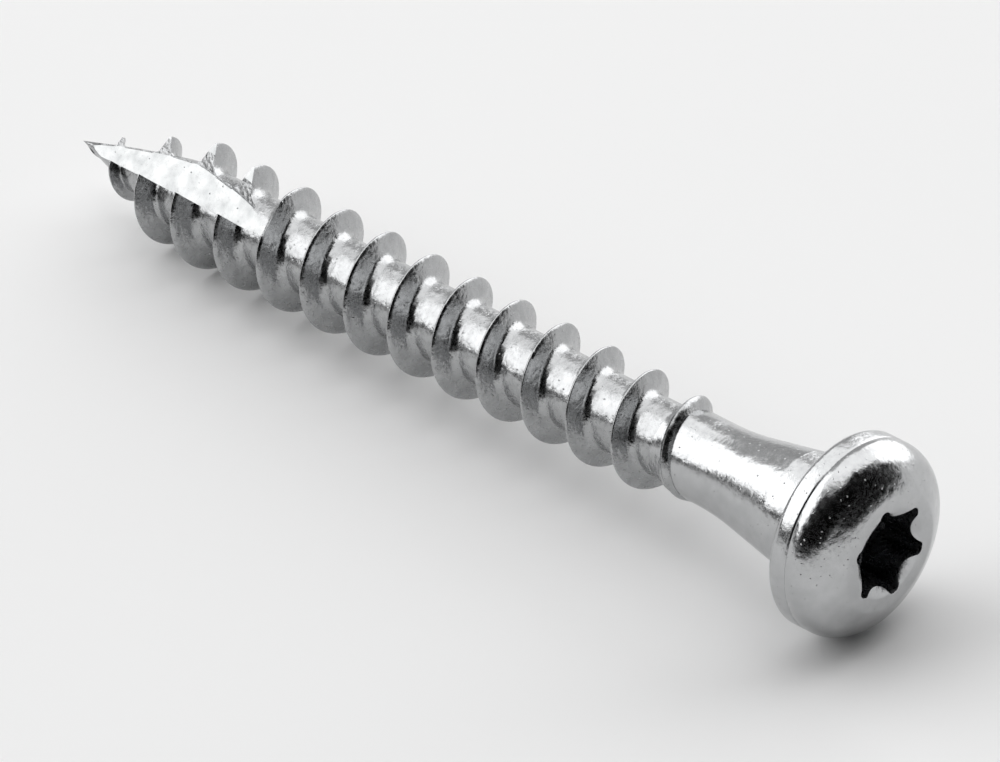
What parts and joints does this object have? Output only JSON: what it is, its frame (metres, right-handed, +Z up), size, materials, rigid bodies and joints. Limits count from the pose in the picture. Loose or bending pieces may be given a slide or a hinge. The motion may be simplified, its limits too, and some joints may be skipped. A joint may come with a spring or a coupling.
{
  "type": "connector screw",
  "caption": "Pan-head connector screw with a six-lobe recess, a collar that fills a bracket hole, a flared neck, a coarse wood thread and a slash-cut point.",
  "frame": {"origin": "on the floor, under the middle of the lying screw's box", "axes": "+X along the screw from the point to the head, level with the floor; +Z up; the screw's own axis rises 2.7 degrees towards the head"},
  "size_m": [0.0428, 0.008, 0.008],
  "materials": {
    "zinc_plated_steel": "bright zinc plating, satin"
  },
  "bodies": {
    "root": {"connector_screw": "zinc_plated_steel"}
  },
  "joints": []
}
